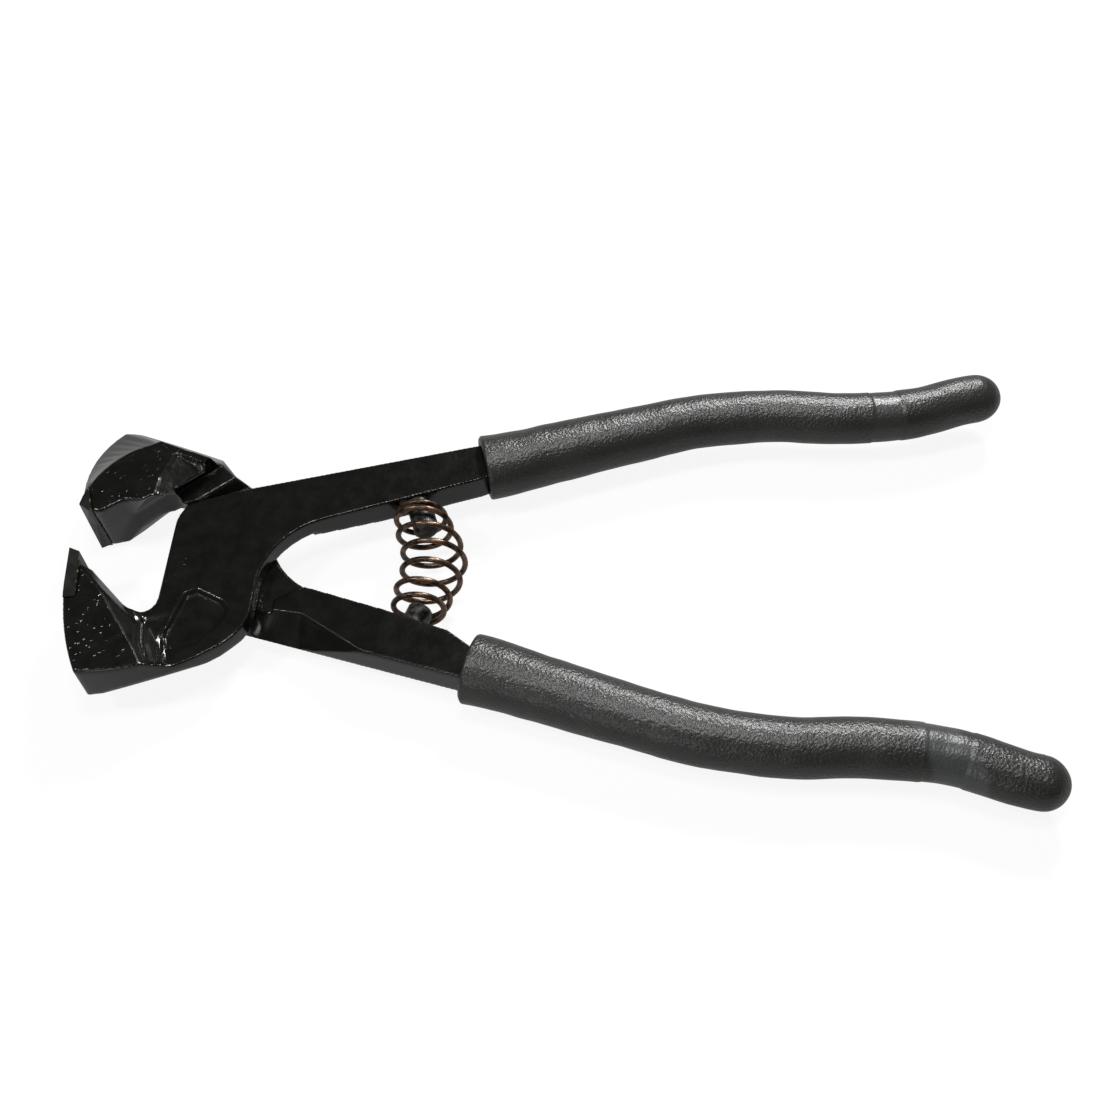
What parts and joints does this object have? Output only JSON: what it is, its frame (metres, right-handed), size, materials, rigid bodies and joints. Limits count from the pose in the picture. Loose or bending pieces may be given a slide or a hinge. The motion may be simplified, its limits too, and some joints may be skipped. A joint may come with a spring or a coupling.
{
  "type": "mosaic nippers",
  "caption": "Hand nippers for glass and tile: two crossed forged levers on a lap pivot, carbide-tipped jaws, sleeve grips and a return spring.",
  "frame": {"origin": "on the pivot axis, in the parting plane of the lap joint", "axes": "+X along the tool towards the handles, +Y towards the handle of the lever with the marked face up, +Z along the pivot out of that face"},
  "size_m": [0.206, 0.1058, 0.0166],
  "materials": {
    "lever_paint": "gloss black enamel over forged steel",
    "rivet_paint": "gloss black enamel, ground flush",
    "carbide": "ground tungsten carbide",
    "braze": "silver solder with paint over it",
    "grip": "textured vinyl sleeve",
    "peg": "turned steel, partly painted",
    "spring": "oil-tempered spring wire"
  },
  "bodies": {
    "marked_lever": {"front_lever": "lever_paint", "pivot_rivet": "rivet_paint", "lower_carbide_tip": "carbide", "lower_braze_seam": "braze", "upper_grip": "grip", "upper_spring_peg": "peg", "return_spring": "spring"},
    "turning_lever": {"rear_lever": "lever_paint", "upper_carbide_tip": "carbide", "upper_braze_seam": "braze", "lower_grip": "grip", "lower_spring_peg": "peg"}
  },
  "joints": [
    {"name": "jaw_pivot", "type": "hinge", "parent": "marked_lever", "child": "turning_lever", "pos_m": [0, 0, 0], "axis": [0, 0, 1], "range_deg": [0, 19.5], "stiffness_Nm_per_rad": 4.9, "springref_deg": -5.73, "deforming": ["return_spring"]}
  ]
}
